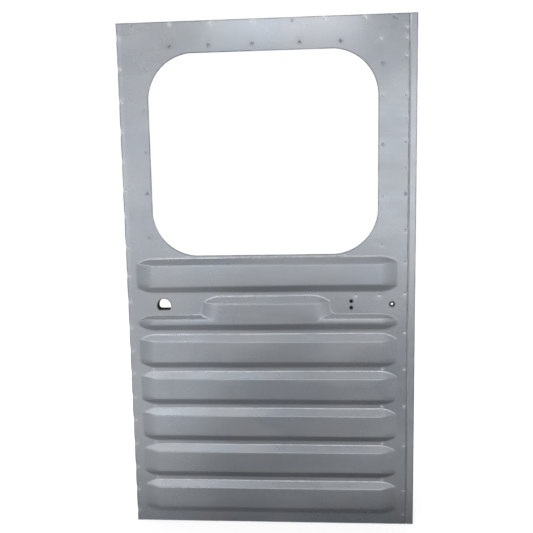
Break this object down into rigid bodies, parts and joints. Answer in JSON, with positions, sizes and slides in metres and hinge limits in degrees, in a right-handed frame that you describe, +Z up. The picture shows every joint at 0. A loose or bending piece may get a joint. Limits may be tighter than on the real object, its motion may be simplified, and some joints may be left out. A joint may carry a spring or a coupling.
{
  "type": "van rear door leaf",
  "caption": "Bare pressed sheet-steel rear door leaf of a light van, with a rounded window aperture, horizontal ribs and a lock hole, on a welded frame of folded sections.",
  "frame": {"origin": "on the hinge face, at half the door's depth and half its height", "axes": "+X out of the hinge face, to the right seen from outside; +Y into the door, so the outside faces -Y; +Z up"},
  "size_m": [0.58, 0.027, 1.021],
  "materials": {
    "skin_zinc": "satin zinc-coated sheet",
    "frame_zinc": "satin zinc-coated sheet",
    "dark_steel": "dark phosphated steel"
  },
  "bodies": {
    "root": {"outer_skin": "skin_zinc", "hinge_edge_strip": "frame_zinc", "hinge_stile": "frame_zinc", "lock_stile": "frame_zinc", "top_rail": "frame_zinc", "waist_rail": "frame_zinc", "bottom_rail": "frame_zinc", "upper_lock_side_gusset": "frame_zinc", "lower_lock_side_gusset": "frame_zinc", "upper_hinge_side_gusset": "frame_zinc", "lower_hinge_side_gusset": "frame_zinc", "lock_plate": "dark_steel", "handle_nut_plate": "dark_steel", "stay_nut": "dark_steel", "upper_hinge_plate": "dark_steel", "lower_hinge_plate": "dark_steel"}
  },
  "joints": []
}
